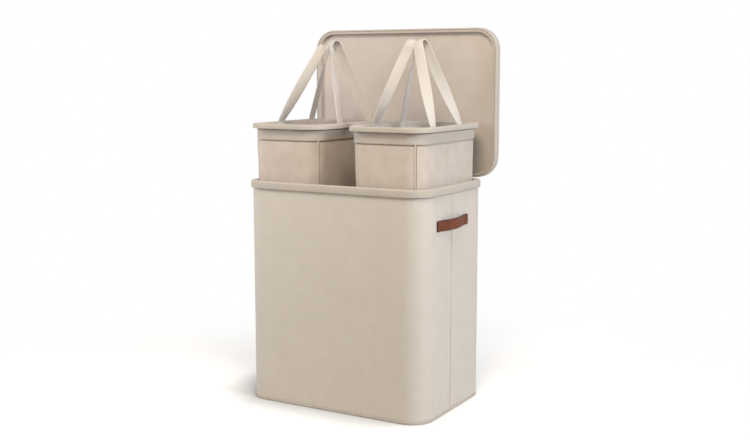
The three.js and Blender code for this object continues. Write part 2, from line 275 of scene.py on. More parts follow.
def joined(name, pieces):
    startFresh()
    for piece in pieces:
        piece.select_set(True)
    bpy.context.view_layer.objects.active = pieces[0]
    bpy.ops.object.join()
    whole = bpy.context.object
    whole.name = whole.data.name = name
    settle(whole)
    return whole


# Materials

def linear(colour):  # an sRGB hex value as the linear colour that Blender wants
    parts = [int(colour[place:place + 2], 16) / 255 for place in (1, 3, 5)]
    return tuple(part / 12.92 if part <= 0.04045 else ((part + 0.055) / 1.055) ** 2.4 for part in parts) + (1.0,)


def addNode(tree, kind, values=None, links=None, **properties):
    node = tree.nodes.new(kind)
    for name, value in properties.items():
        setattr(node, name, value)
    for socket, value in (values or {}).items():
        node.inputs[socket].default_value = value
    for socket, source in (links or {}).items():
        tree.links.new(source, node.inputs[socket])
    return node


def newMaterial(name):
    material = bpy.data.materials.new(name)
    material.use_nodes = True
    tree = material.node_tree
    return material, tree, tree.nodes["Principled BSDF"]


def bandScale(pitch):  # a wave texture of scale s repeats every 0.31416 / s
    return 0.31416 / pitch


# Threads of 0.5 to 0.7 mm are drawn 1.2 to 1.6 mm apart, so that they show at this size
clothPattern = {"waver": 0.6, "slub": (30, 30, 620), "uprightSlub": (620, 620, 30), "mottle": 22.0,
                "toneFrom": 0.25, "toneTo": 0.6, "slubInRelief": 0.45, "relief": 0.35}


def wovenCloth(name, light, dark, pitch, mottleShare, threadDepth, roughness, sheen):
    # Plain weave: threads with thick and thin places, over a slow change of tone
    v = clothPattern
    material, tree, shader = newMaterial(name)
    place = addNode(tree, "ShaderNodeTexCoord").outputs["Object"]
    threads = []
    for direction in ("X", "Y", "Z"):
        wave = addNode(tree, "ShaderNodeTexWave", {"Scale": bandScale(pitch), "Distortion": v["waver"],
                                                   "Detail": 1.0, "Detail Scale": 0.25},
                       {"Vector": place}, wave_type="BANDS", bands_direction=direction)
        threads.append(wave.outputs["Fac"])
    weave = threads[0]
    for thread in threads[1:]:
        weave = addNode(tree, "ShaderNodeMath", links={0: weave, 1: thread}, operation="ADD").outputs[0]
    weave = addNode(tree, "ShaderNodeMath", {1: 0.34}, {0: weave}, operation="MULTIPLY").outputs[0]
    slubs = []
    for squeeze in (v["slub"], v["uprightSlub"]):
        way = addNode(tree, "ShaderNodeMapping", {"Scale": squeeze}, {"Vector": place}).outputs[0]
        slubs.append(addNode(tree, "ShaderNodeTexNoise", {"Scale": 1.0, "Detail": 3.0, "Roughness": 0.6},
                             {"Vector": way}).outputs["Fac"])
    slub = addNode(tree, "ShaderNodeMath", links={0: slubs[0], 1: slubs[1]}, operation="MULTIPLY").outputs[0]
    mottle = addNode(tree, "ShaderNodeTexNoise", {"Scale": v["mottle"], "Detail": 5.0, "Roughness": 0.6},
                     {"Vector": place}).outputs["Fac"]
    slow = addNode(tree, "ShaderNodeMix", {0: 0.5}, {2: slub, 3: mottle}, data_type="FLOAT").outputs[0]
    toned = addNode(tree, "ShaderNodeMapRange", {"From Min": v["toneFrom"], "From Max": v["toneTo"],
                                                 "To Min": 0.5 - mottleShare, "To Max": 0.5 + mottleShare},
                    {"Value": slow}).outputs[0]
    mixed = addNode(tree, "ShaderNodeMix", {6: linear(dark), 7: linear(light)}, {0: toned},
                    data_type="RGBA").outputs[2]
    tree.links.new(mixed, shader.inputs["Base Color"])
    height = addNode(tree, "ShaderNodeMix", {0: v["slubInRelief"]}, {2: weave, 3: slub},
                     data_type="FLOAT").outputs[0]
    bump = addNode(tree, "ShaderNodeBump", {"Strength": v["relief"], "Distance": threadDepth}, {"Height": height})
    tree.links.new(bump.outputs[0], shader.inputs["Normal"])
    rough = addNode(tree, "ShaderNodeMapRange", {"To Min": roughness - 0.06, "To Max": roughness + 0.04},
                    {"Value": slub}).outputs[0]
    tree.links.new(rough, shader.inputs["Roughness"])
    shader.inputs["Sheen Weight"].default_value = sheen
    shader.inputs["Sheen Roughness"].default_value = 0.5
    shader.inputs["Specular IOR Level"].default_value = 0.25
    return material


def cottonWebbing(name, light, dark):
    # Heavy cotton webbing: ribs across the width and picks along the length, on the strap's own map,
    # which is in metres, and fibres about 1 mm apart, drawn far coarser than real ones so that they show
    material, tree, shader = newMaterial(name)
    place = addNode(tree, "ShaderNodeTexCoord").outputs["UV"]
    ribs = addNode(tree, "ShaderNodeTexWave", {"Scale": bandScale(2.1 * mm), "Distortion": 0.3, "Detail": 1.0},
                   {"Vector": place}, wave_type="BANDS", bands_direction="X").outputs["Fac"]
    picks = addNode(tree, "ShaderNodeTexWave", {"Scale": bandScale(1.4 * mm), "Distortion": 0.5, "Detail": 1.0},
                    {"Vector": place}, wave_type="BANDS", bands_direction="Y").outputs["Fac"]
    fibres = addNode(tree, "ShaderNodeTexNoise", {"Scale": 900.0, "Detail": 3.0}, {"Vector": place}).outputs["Fac"]
    weave = addNode(tree, "ShaderNodeMath", links={0: ribs, 1: picks}, operation="MULTIPLY").outputs[0]
    height = addNode(tree, "ShaderNodeMix", {0: 0.3}, {2: weave, 3: fibres}, data_type="FLOAT").outputs[0]
    # The colour follows the weave's height: its hollows are painted darker as painted shade, over the fibres'
    # random tone
    toned = addNode(tree, "ShaderNodeMapRange", {"To Min": 0.2, "To Max": 1.0}, {"Value": height}).outputs[0]
    mixed = addNode(tree, "ShaderNodeMix", {6: linear(dark), 7: linear(light)}, {0: toned},
                    data_type="RGBA").outputs[2]
    tree.links.new(mixed, shader.inputs["Base Color"])
    bump = addNode(tree, "ShaderNodeBump", {"Strength": 0.5, "Distance": 0.5 * mm}, {"Height": height})
    tree.links.new(bump.outputs[0], shader.inputs["Normal"])
    shader.inputs["Roughness"].default_value = 0.88
    shader.inputs["Sheen Weight"].default_value = 0.2
    shader.inputs["Specular IOR Level"].default_value = 0.25
    return material


def tannedLeather(name, light, dark, roughness):
    # Vegetable tanned leather: cloudy in tone, its pebble grain drawn a little coarser than real, so it shows
    material, tree, shader = newMaterial(name)
    place = addNode(tree, "ShaderNodeTexCoord").outputs["Object"]
    grain = addNode(tree, "ShaderNodeTexVoronoi", {"Scale": 1 / (1.3 * mm), "Randomness": 1.0}, {"Vector": place},
                    feature="DISTANCE_TO_EDGE").outputs["Distance"]
    cloud = addNode(tree, "ShaderNodeTexNoise", {"Scale": 60.0, "Detail": 6.0, "Roughness": 0.65},
                    {"Vector": place}).outputs["Fac"]
    toned = addNode(tree, "ShaderNodeMapRange", {"From Min": 0.3, "From Max": 0.7}, {"Value": cloud}).outputs[0]
    mixed = addNode(tree, "ShaderNodeMix", {6: linear(dark), 7: linear(light)}, {0: toned},
                    data_type="RGBA").outputs[2]
    tree.links.new(mixed, shader.inputs["Base Color"])
    edge = addNode(tree, "ShaderNodeMapRange", {"From Max": 0.25}, {"Value": grain}).outputs[0]
    bump = addNode(tree, "ShaderNodeBump", {"Strength": 0.4, "Distance": 0.25 * mm}, {"Height": edge})
    tree.links.new(bump.outputs[0], shader.inputs["Normal"])
    rough = addNode(tree, "ShaderNodeMapRange", {"To Min": roughness - 0.08, "To Max": roughness + 0.08},
                    {"Value": cloud}).outputs[0]
    tree.links.new(rough, shader.inputs["Roughness"])
    shader.inputs["Specular IOR Level"].default_value = 0.25
    return material


def spunThread(name, colour):
    # Polyester sewing thread, twisted, so it has fine slanting bands half a millimetre apart
    material, tree, shader = newMaterial(name)
    place = addNode(tree, "ShaderNodeTexCoord").outputs["Object"]
    twist = addNode(tree, "ShaderNodeTexWave", {"Scale": bandScale(0.5 * mm)}, {"Vector": place},
                    wave_type="BANDS", bands_direction="DIAGONAL").outputs["Fac"]
    shade = tuple(0.8 * part for part in linear(colour)[:3]) + (1.0,)
    mixed = addNode(tree, "ShaderNodeMix", {6: shade, 7: linear(colour)}, {0: twist}, data_type="RGBA").outputs[2]
    tree.links.new(mixed, shader.inputs["Base Color"])
    shader.inputs["Roughness"].default_value = 0.6
    return material


def pressedFibreboard(name, light, dark):
    # Pressed wood fibre, brown and matt, with speckles about 1.5 mm across
    material, tree, shader = newMaterial(name)
    place = addNode(tree, "ShaderNodeTexCoord").outputs["Object"]
    speckle = addNode(tree, "ShaderNodeTexNoise", {"Scale": 700.0, "Detail": 4.0, "Roughness": 0.7},
                      {"Vector": place}).outputs["Fac"]
    mixed = addNode(tree, "ShaderNodeMix", {6: linear(dark), 7: linear(light)}, {0: speckle},
                    data_type="RGBA").outputs[2]
    tree.links.new(mixed, shader.inputs["Base Color"])
    bump = addNode(tree, "ShaderNodeBump", {"Strength": 0.3, "Distance": 0.3 * mm}, {"Height": speckle})
    tree.links.new(bump.outputs[0], shader.inputs["Normal"])
    shader.inputs["Roughness"].default_value = 0.85
    return material


# Polyester woven to look like linen, stretched over boards: matt, with faint slubs
coverCloth = wovenCloth("linenLookPolyesterCover", "#D2CBC2", "#C8C0B5", 1.5 * mm, 0.4, 0.35 * mm, 0.9, 0.1)
# The same cloth folded over the rims and edges, a little darker where it lies double
rimCloth = wovenCloth("linenLookPolyesterBinding", "#C2B9AF", "#B8AFA4", 1.5 * mm, 0.4, 0.35 * mm, 0.88, 0.1)
# A finer, flatter cloth inside
liningCloth = wovenCloth("plainWovenLining", "#CDC4BC", "#C4BAB0", 1.3 * mm, 0.4, 0.3 * mm, 0.92, 0.1)
# Softer cloth with a coarser weave; its random mottle is deepened to stand in for the soft shade of small creases,
# so it is partly painted shade
bagCloth = wovenCloth("stiffenedLinenBag", "#D3C8BF", "#BDB0A3", 1.6 * mm, 0.45, 0.4 * mm, 0.92, 0.1)
# Painted shadow: a dark colour laid on the valley beside each sewn corner seam, standing in for the shade that
# falls there
seamShade = wovenCloth("paintedSeamValleyShadow", "#85786A", "#75695B", 1.2 * mm, 0.3, 0.2 * mm, 0.95, 0.05)
webbingCotton = cottonWebbing("creamCottonWebbing", "#D8D3CC", "#C6BEB4")
handleLeather = tannedLeather("chestnutTannedLeather", "#7A4327", "#5B2F1C", 0.5)
leatherEdge = tannedLeather("burnishedLeatherEdge", "#43231A", "#331A13", 0.4)  # rubbed smooth, so it shines more
creamThread = spunThread("creamSewingThread", "#E4D9CA")
leatherThread = spunThread("darkBrownWaxedThread", "#5A3024")
fibreboard = pressedFibreboard("pressedFibreboard", "#A98A66", "#7C6145")
print("materials made")


def finishedAs(piece, material, rides, nodes=()):
    piece.data.materials.clear()
    piece.data.materials.append(material)
    if rides:
        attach(piece, rides)
    if nodes:
        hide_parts(*nodes)


# Outer cover: two halves stretched over the boards, with a seam down each side

coverValues = {"thickness": 1.5 * mm, "bottom": 8.3 * mm, "top": 610.7 * mm, "seamGap": 0.15 * mm,
               "wave": 0.5 * mm, "waveSize": 170 * mm, "waveIn": 0.2 * mm, "rows": 40, "crease": 1.1 * mm,
               "creaseRows": (597 * mm, 598 * mm, 601 * mm)}


def coverHalf(name, side):
    v = coverValues
    piece = wallBand(name, *outline(body), v["bottom"], v["top"], v["rows"])
    editAll(piece)
    bpy.ops.mesh.bisect(plane_co=(0, body["seamY"] + side * v["seamGap"], 0), plane_no=(0, side, 0),
                        clear_inner=True)
    leave()
    cutLevel(piece, v["creaseRows"])

    def softened(point):  # the cloth isn't quite flat over the board
        way = outwards(point, *outline(body))
        lift = noise.noise(point / v["waveSize"] + Vector((0, 0, side))) * v["wave"]
        return point + way * min(0.0, lift - v["waveIn"])

    def pressed(point):  # its outside is pulled in at the sides, where it goes under the rim
        depth = fromOutline(point, *outline(body))
        if depth < 0.9 * mm and point.z > v["creaseRows"][1] - 0.1 * mm:
            way = outwards(point, *outline(body))
            return point - way * v["crease"] * way.x ** 2
        return point

    moved(piece, softened)
    thickened(piece, v["thickness"])
    moved(piece, pressed)
    smoothed(piece)
    node = ("front" if side < 0 else "back") + "_outer_cover"
    finishedAs(piece, coverCloth, "hamper", [node])


coverHalf("frontCover", -1)
coverHalf("backCover", 1)
print("outer cover made")


# Stitches: one is modelled, and its copies are joined into a row

def stitchModel(length, thick):
    startFresh()
    bpy.ops.mesh.primitive_uv_sphere_add(segments=6, ring_count=4, radius=0.5)
    stitch = bpy.context.object
    stitch.scale = (length, thick, thick)
    settle(stitch)
    return smoothed(stitch, 80)


def stitchRow(name, places, length, thick):  # places are (point, way along, way out)
    model = stitchModel(length, thick)
    copies = []
    for point, along, out in places:
        copy = bpy.data.objects.new(name, model.data.copy())
        bpy.context.scene.collection.objects.link(copy)
        across = out.cross(along).normalized()
        turn = copy.matrix_world.to_3x3()
        turn.col[0], turn.col[1], turn.col[2] = along.normalized(), across, out.normalized()
        copy.data.transform(turn.to_4x4())
        copy.data.transform(Matrix.Translation(point))
        copies.append(copy)
    bpy.data.objects.remove(model)
    return joined(name, copies)


# Side seams: the front half's edge is folded over into a narrow ridge, with a row of stitches beside it

seamValues = {"width": 4 * mm, "thickness": 0.4 * mm, "sunk": 0.2 * mm, "round": 0.28 * mm, "rows": 60,
              "stitch": 3.2 * mm, "pitch": 4.4 * mm, "thread": 0.45 * mm, "stitchFromSeam": 3.6 * mm,
              "stitchFromEnd": 6 * mm, "stitchProud": 0.05 * mm}


def sideSeam(name, side):
    v = seamValues
    bottom, top = coverValues["bottom"], body["rimBottom"] - gap
    startFresh()
    middle = (side * (body["halfX"] + v["thickness"] / 2), body["seamY"], (bottom + top) / 2)
    bpy.ops.mesh.primitive_cube_add(size=1, location=middle)
    piece = bpy.context.object
    piece.name = piece.data.name = name
    piece.scale = (v["thickness"] + v["sunk"], v["width"], top - bottom)
    settle(piece)
    addRows(piece, v["rows"])
    bevelled(piece, v["round"], 3)
    smoothed(piece)
    seamSide = "right" if side > 0 else "left"
    finishedAs(piece, coverCloth, "hamper", [seamSide + "_seam_welt"])
    places = []
    for step in range(int((top - bottom - 2 * v["stitchFromEnd"]) / v["pitch"])):
        height = bottom + v["stitchFromEnd"] + (step + 0.5) * v["pitch"]
        point = Vector((side * (body["halfX"] + v["stitchProud"]), body["seamY"] - v["stitchFromSeam"], height))
        places.append((point, Vector((0, 0, 1)), Vector((side, 0, 0))))
    row = stitchRow(name + "Stitches", places, v["stitch"], v["thread"])
    finishedAs(row, creamThread, "hamper")


sideSeam("leftSeam", -1)
sideSeam("rightSeam", 1)
print("side seams made")


# Base: a rolled binding round the bottom edge and the cloth under the board

baseValues = {"height": 8 * mm, "proud": 1.2 * mm, "round": 3 * mm, "wall": 8.3 * mm, "underside": 1.5 * mm}


def makeBase():
    v = baseValues
    binding = hollowRing("baseBinding", *outline(body, v["proud"]), 0, v["height"], v["wall"] + v["proud"],
                         v["round"], 4)
    finishedAs(binding, rimCloth, "hamper", ["base_binding"])
    under = roundedSheet("underside", *outline(body, -(v["wall"] + gap)), 0)
    thickened(under, v["underside"], 1)
    smoothed(under)
    finishedAs(under, coverCloth, "hamper", ["base_cover"])


makeBase()
print("base made")


# Capping rim: a folded channel over the top edge of the walls

rimValues = {"overhang": 5.5 * mm, "width": 18.1 * mm, "outerRound": 3 * mm, "innerRound": 2.5 * mm,
             "wall": 2.4 * mm, "edgeRound": 1.1 * mm}


def makeTopRim():
    v = rimValues
    flat = v["width"] - v["outerRound"] - v["innerRound"]
    piece = roundedBlock("topRim", *outline(body, v["overhang"]), body["rimBottom"],
                         body["rimTop"] - v["outerRound"], steps=14)
    workFace(piece, 1, outerRounding(v["outerRound"]) + [(flat, 0)] + innerRounding(v["innerRound"])
             + [(0, body["rimTop"] - body["rimBottom"] - v["innerRound"])])
    bpy.ops.mesh.delete(type="FACE")
    leave()
    openEnds(piece, [-1])
    thickened(piece, v["wall"])
    bevelled(piece, v["edgeRound"], 3, 60)
    smoothed(piece)
    finishedAs(piece, rimCloth, "hamper", ["top_rim"])


makeTopRim()
print("capping rim made")


# Linings of the wall and the floor inside the body

liningValues = {"wallOuter": 7.1 * mm, "floorEdge": 8.6 * mm, "thickness": 1.2 * mm, "wave": 0.7 * mm,
                "waveSize": 110 * mm, "heldAbove": 60 * mm, "rows": 30, "bottom": 8.3 * mm, "top": 610.7 * mm}


def makeLinings():
    v = liningValues
    wall = wallBand("wallLining", *outline(body, -v["wallOuter"]), v["bottom"], v["top"], v["rows"])

    def eased(point):  # it is held at the top and hangs a little loose below
        way = outwards(point, *outline(body))
        share = min(1.0, (v["top"] - point.z) / v["heldAbove"])
        return point - way * share * v["wave"] * (0.5 + 0.5 * noise.noise(point / v["waveSize"]))

    moved(wall, eased)
    thickened(wall, v["thickness"])
    smoothed(wall)
    finishedAs(wall, liningCloth, "hamper", ["wall_lining"])
    floor = roundedSheet("floorLining", *outline(body, -v["floorEdge"]), v["bottom"])
    thickened(floor, v["thickness"], 1)
    smoothed(floor)
    finishedAs(floor, liningCloth, "hamper", ["floor_lining"])


makeLinings()
print("linings made")


# Leather handles: a bowed strap, sewn down at both ends

handleValues = {"length": 186 * mm, "width": 29 * mm, "thickness": 3 * mm, "bow": 12 * mm, "sewn": 22 * mm,
                "middleHeight": 520 * mm, "stitch": 2.6 * mm, "pitch": 3.4 * mm, "thread": 0.7 * mm,
                "stitchInset": 3.6 * mm, "stitchInSewn": 3 * mm, "fullness": 0.66, "cornerCut": 4 * mm,
                "edgeRound": 0.8 * mm, "along": 64,
                "lines": (-0.5, -0.415, -0.28, -0.14, 0, 0.14, 0.28, 0.415, 0.5)}


def handleOut(along):  # how far the strap stands off its sewn ends, from its middle outwards
    v = handleValues
    bowHalf = v["length"] / 2 - v["sewn"]
    if abs(along) >= bowHalf:
        return 0.0
    rise = (1 + math.cos(math.pi * along / bowHalf)) / 2
    return v["bow"] * rise ** v["fullness"]


def makeHandle(name, side):
    v = handleValues
    startFresh()
    rows = len(v["lines"]) - 1
    bpy.ops.mesh.primitive_grid_add(x_subdivisions=v["along"], y_subdivisions=rows, size=1)
    piece = bpy.context.object
    piece.name = piece.data.name = name

    def laid(point):
        along, across = point.x * v["length"], v["lines"][round((point.y + 0.5) * rows)] * v["width"]
        fromEnd, cut = v["length"] / 2 - abs(along), v["cornerCut"]
        if fromEnd < cut:  # the ends have rounded corners
            limit = v["width"] / 2 - (cut - math.sqrt(max(0, cut ** 2 - (cut - fromEnd) ** 2)))
            across = max(-limit, min(limit, across * limit / (v["width"] / 2)))
        return Vector((side * (body["halfX"] + gap + handleOut(along)), body["seamY"] + side * along,
                       v["middleHeight"] + across))

    moved(piece, laid)
    editAll(piece)
    bpy.ops.mesh.normals_make_consistent(inside=False)
    leave()
    outside = sum(face.normal.x * face.area for face in piece.data.polygons) * side > 0
    piece.data.materials.append(handleLeather)
    piece.data.materials.append(leatherEdge)
    for face in piece.data.polygons:  # the border is burnished dark all round
        row, column = divmod(face.index, v["along"])
        face.material_index = 1 if row in (0, rows - 1) or column in (0, v["along"] - 1) else 0
    applied(piece, "SOLIDIFY", thickness=v["thickness"], offset=1 if outside else -1, material_offset_rim=1)
    bevelled(piece, v["edgeRound"], 3)
    smoothed(piece, 50)
    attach(piece, "hamper")
    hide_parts(name.replace("Handle", "_leather_handle"))
    places = []
    out = Vector((side, 0, 0))
    halfWidth = v["width"] / 2 - v["stitchInset"]
    surface = side * (body["halfX"] + gap + v["thickness"])
    for end in (-1, 1):
        near, far = v["length"] / 2 - v["sewn"] + v["stitchInSewn"], v["length"] / 2 - v["stitchInset"]
        corners = [(near, -halfWidth), (far, -halfWidth), (far, halfWidth), (near, halfWidth)]
        for (startY, startZ), (stopY, stopZ) in zip(corners, corners[1:] + corners[:1]):
            start = Vector((surface, body["seamY"] + end * startY, v["middleHeight"] + startZ))
            stop = Vector((surface, body["seamY"] + end * stopY, v["middleHeight"] + stopZ))
            count = max(2, round((stop - start).length / v["pitch"]))
            for step in range(count):
                places.append((start.lerp(stop, (step + 0.5) / count), stop - start, out))
    row = stitchRow(name + "Stitches", places, v["stitch"], v["thread"])
    finishedAs(row, leatherThread, "hamper")


makeHandle("leftHandle", -1)
makeHandle("rightHandle", 1)
print("leather handles made")


# Lid: a rolled frame round a recessed lining, with the cover over its back

lidValues = {"frameWidth": 12 * mm, "frameDepth": 24.2 * mm, "recess": 13 * mm, "outerRound": 2.5 * mm,
             "innerRound": 1.2 * mm, "groove": 2.2 * mm, "grooveSlope": 0.5 * mm, "grooveFromEdge": 4 * mm,
             "liningInset": 12.1 * mm, "lining": 1 * mm, "crown": 2.5 * mm, "ripple": 0.5 * mm,
             "rippleSize": 70 * mm, "cover": 1.6 * mm, "coverLift": 0.2 * mm, "coverRound": 0.7 * mm}


def makeLid():
    v = lidValues
    slope, deep = v["grooveSlope"], v["groove"]
    before = v["grooveFromEdge"] - v["outerRound"]
    after = v["frameWidth"] - v["grooveFromEdge"] - 3 * slope - v["innerRound"]
    groove = [(before, 0), (slope, deep), (slope, 0), (slope, -deep), (after, 0)]
    profile = outerRounding(v["outerRound"]) + groove + innerRounding(v["innerRound"])
    lidFrame = solidRing("lidFrame", *outline(lid), 0, v["frameDepth"], v["frameWidth"], -1, profile,
                         v["outerRound"])
    standUp(lidFrame)
    finishedAs(lidFrame, rimCloth, "lid", ["lid_frame"])

    lining = roundedSheet("lidLining", *outline(lid, -v["liningInset"]), v["recess"])

    def crowned(point):  # it swells towards its middle and isn't quite even
        shareX, shareY = point.x / lid["halfX"], point.y / lid["halfY"]
        crown = (1 - shareX ** 4) * (1 - shareY ** 4) * v["crown"]
        ripple = noise.noise(point / v["rippleSize"]) * v["ripple"] * (1 - shareX ** 8) * (1 - shareY ** 8)
        return point - Vector((0, 0, crown + ripple))

    moved(lining, crowned)
    thickened(lining, v["lining"], 1)
    smoothed(lining)
    standUp(lining)
    finishedAs(lining, liningCloth, "lid", ["lid_lining"])

    cover = roundedSheet("lidBackCover", *outline(lid), v["frameDepth"] + v["coverLift"])
    thickened(cover, v["cover"], 1)
    bevelled(cover, v["coverRound"], 3)
    smoothed(cover)
    standUp(cover)
    finishedAs(cover, coverCloth, "lid", ["lid_outer_cover"])


makeLid()
print("lid made")


# Hinge: one strip of cloth from the back of the rim to under the lid

hingeValues = {"length": 440 * mm, "thickness": 1.2 * mm, "columns": 40,
               "route": ((198.4, 602.4), (198.4, 607), (198.4, 612), (198.4, 614.8), (198.9, 616.6),
                         (200.4, 617.4), (203, 617.5), (206.5, 617.5), (208.5, 617.5), (210, 617.55),
                         (211.5, 617.7), (213, 617.95), (215, 618.1), (219, 618.1), (225, 618.1),
                         (231.2, 618.1)),  # y and z in millimetres
               "turnFrom": (0, 0.2085, 0.6175), "turnTo": (0, 0.2145, 0.6175)}


def makeHinge():
    v = hingeValues
    route = v["route"]
    startFresh()
    bpy.ops.mesh.primitive_grid_add(x_subdivisions=v["columns"], y_subdivisions=len(route) - 1, size=1)
    piece = bpy.context.object
    piece.name = piece.data.name = "lidHinge"

    def laid(point):
        y, z = route[round((point.y + 0.5) * (len(route) - 1))]
        return Vector((point.x * v["length"], y * mm, z * mm))

    moved(piece, laid)
    thickened(piece, v["thickness"], 0)
    smoothed(piece)
    finishedAs(piece, coverCloth, None, ["hinge_body_leaf", "hinge_lid_leaf"])
    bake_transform(piece)


makeHinge()
print("hinge made")


# Bins: a flanged rim, a slot under it, a stiff cuff, and a soft bag that comes out of the cuff

binValues = {"rimWidth": 21.7 * mm, "rimRound": 2.6 * mm, "rimUnderRound": 1.2 * mm, "rimInnerRound": 2 * mm,
             "slot": 2.6 * mm, "cuffInset": 12.1 * mm, "cuff": 2 * mm, "cuffRound": 0.7 * mm, "cuffRows": 4,
             "facingInset": 16.7 * mm, "facing": 5 * mm, "facingRound": 1.5 * mm,
             "floor": 4 * mm, "floorRound": 1.2 * mm}
bagValues = {"inset": 14.4 * mm, "thickness": 2 * mm, "taper": 10 * mm, "rows": 64, "floorInset": 10 * mm,
             "wrinkle": 2 * mm, "broad": 95 * mm, "fine": 34 * mm, "calmTop": 50 * mm, "calmFoot": 60 * mm,
             "pinch": 3.4 * mm, "pinchHeight": 4.6 * mm,
             "pinchRows": (-0.2 * mm, 0.2 * mm, 1.5 * mm, 2.8 * mm, 3.8 * mm, 4.6 * mm)}
cornerSeamValues = {"width": 6.6 * mm, "columns": 6, "rows": 60, "thickness": 0.5 * mm, "intoCuff": 4 * mm,
                    "overFoot": 8 * mm, "profile": (-0.3, 1.2, 1.9, 2.1, 1.9, 0.5, -0.2)}  # profile in millimetres


def bagEdge(height):  # how far in from the rim's edge the bag's outside is at a height
    v = bagValues
    share = (binShape["cuffBottom"] - height) / (binShape["cuffBottom"] - binShape["bagBottom"])
    return v["inset"] + v["taper"] * max(0.0, min(1.0, share))


def bagRipple(point, seed):  # how far the cloth stands in or out from its even taper
    v = bagValues
    down = max(0.0, min(1.0, (binShape["cuffBottom"] - point.z) / v["calmTop"]))
    lift = max(0.0, min(1.0, (point.z - binShape["bagBottom"]) / v["calmFoot"]))
    broad = noise.noise(point / v["broad"] + Vector((seed, 0, 0)))
    fine = noise.noise(Vector((point.x, point.y, point.z * 0.6)) / v["fine"] + Vector((0, seed, 0)))
    under = (binShape["cuffBottom"] - point.z) / v["pinchHeight"]  # drawn in where it comes out of the cuff
    pinch = v["pinch"] * (1 - under ** 3) if 0 < under < 1 else 0.0
    return v["wrinkle"] * down * lift * (broad + 0.5 * fine) - pinch


def makeBag(name, node, middleX, seed):
    v = bagValues
    bag = roundedBlock(name, *outline(binShape, -v["inset"]), binShape["bagBottom"], binShape["rimBottom"] - gap,
                       middleX)
    openEnds(bag, [1])
    pick(bag, "FACE", lambda middle, normal: normal.z < -0.9)
    bpy.ops.mesh.inset(thickness=v["floorInset"], depth=0)
    leave()
    cutStraights(bag, *outline(binShape), meshCells["bag"])
    addRows(bag, v["rows"])
    cutLevel(bag, [binShape["cuffBottom"] - below for below in v["pinchRows"]])

    def shaped(point):
        way = outwards(point, *outline(binShape), middleX)
        inward = bagEdge(point.z) - v["inset"]
        return point + way * (bagRipple(point, seed) - inward)

    moved(bag, shaped)
    thickened(bag, v["thickness"])
    smoothed(bag, 60)
    finishedAs(bag, bagCloth, node, [node + "_bag"])


def cornerSeam(middleX, signX, signY, seed, seamTurn):  # a raised fold, with painted shadow on the valley on one side
    v = cornerSeamValues
    last = v["columns"] - 1
    top, bottom = binShape["cuffBottom"] + v["intoCuff"], binShape["bagBottom"] + v["overFoot"]
    startFresh()
    bpy.ops.mesh.primitive_grid_add(x_subdivisions=v["columns"], y_subdivisions=v["rows"], size=1)
    seam = bpy.context.object

    def laid(point):
        height = bottom + (point.y + 0.5) * (top - bottom)
        step = round((point.x + 0.5) * v["columns"])
        radius = binShape["corner"] - bagEdge(height)
        turn = math.radians(seamTurn) + (point.x * v["width"]) / radius * signX * signY
        way = Vector((signX * math.cos(turn), signY * math.sin(turn), 0))
        core = Vector((middleX + signX * (binShape["halfX"] - binShape["corner"]),
                       signY * (binShape["halfY"] - binShape["corner"]), height))
        place = core + way * radius
        rise = v["profile"][step if signX * signY < 0 else v["columns"] - step] * mm
        return place + way * (bagRipple(place, seed) + rise)

    moved(seam, laid)
    seam.data.materials.append(bagCloth)
    seam.data.materials.append(seamShade)
    # the two columns on the valley side take the painted shadow
    for face in seam.data.polygons:
        column = face.index % v["columns"]
        column = column if signX * signY < 0 else last - column
        face.material_index = 1 if column > last - 2 else 0
    return seam


def makeBin(name, side, seed, seamTurn):
    v = binValues
    node = ("left" if side < 0 else "right") + "_bin"
    middleX = side * binShape["middleX"]

    flat = v["rimWidth"] - v["rimRound"] - v["rimInnerRound"]
    profile = outerRounding(v["rimRound"]) + [(flat, 0)] + innerRounding(v["rimInnerRound"])
    rim = solidRing(name + "Rim", *outline(binShape), binShape["rimBottom"], binShape["rimTop"], v["rimWidth"],
                    1, profile, v["rimRound"], v["rimUnderRound"], middleX)
    finishedAs(rim, rimCloth, node, [node + "_rim"])

    cuff = wallBand(name + "Cuff", *outline(binShape, -v["cuffInset"]), binShape["cuffBottom"],
                    binShape["rimBottom"] - v["slot"], v["cuffRows"], middleX)
    thickened(cuff, v["cuff"])
    bevelled(cuff, v["cuffRound"], 2)
    smoothed(cuff)
    finishedAs(cuff, rimCloth, node, [node + "_cuff"])

    makeBag(name + "Bag", node, middleX, seed)
    seams = [cornerSeam(middleX, signX, signY, seed, seamTurn) for signX in (-1, 1) for signY in (-1, 1)]
    seam = joined(name + "CornerSeams", seams)
    editAll(seam)
    bpy.ops.mesh.normals_make_consistent(inside=False)
    leave()
    thickened(seam, cornerSeamValues["thickness"], 0)
    smoothed(seam, 60)
    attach(seam, node)

    facing = hollowRing(name + "Facing", *outline(binShape, -v["facingInset"]), binShape["cuffBottom"],
                        binShape["rimBottom"] - gap, v["facing"], v["facingRound"], 3, middleX)
    finishedAs(facing, liningCloth, node, [node + "_stiffening_band"])

    inset = bagValues["inset"] + bagValues["thickness"] + bagValues["taper"] + gap
    floor = roundedSheet(name + "Floor", *outline(binShape, -inset),
                         binShape["bagBottom"] + bagValues["thickness"] + gap, middleX)
    thickened(floor, v["floor"], 1)
    bevelled(floor, v["floorRound"], 3)
    smoothed(floor)
    finishedAs(floor, liningCloth, node, [node + "_base_board"])


makeBin("leftBin", -1, 3.7, 36)
makeBin("rightBin", 1, 9.1, 56)
print("bins made")


# Webbing loops: one strap from inside the front of the bin, up and over, to inside the back

strapValues = {"width": 29 * mm, "thickness": 2.4 * mm, "edgeRound": 0.7 * mm, "spacing": 160 * mm,
               "length": 238 * mm, "apex": 22 * mm, "inset": 22.75 * mm, "foot": 778.85 * mm, "tail": 43 * mm,
               "tailStraight": 4 * mm, "steps": 160, "across": 8, "bends": 8, "cup": 3.5 * mm, "lateTurn": 3.4,
               "foldBelow": 3 * mm, "foldAbove": 5 * mm}


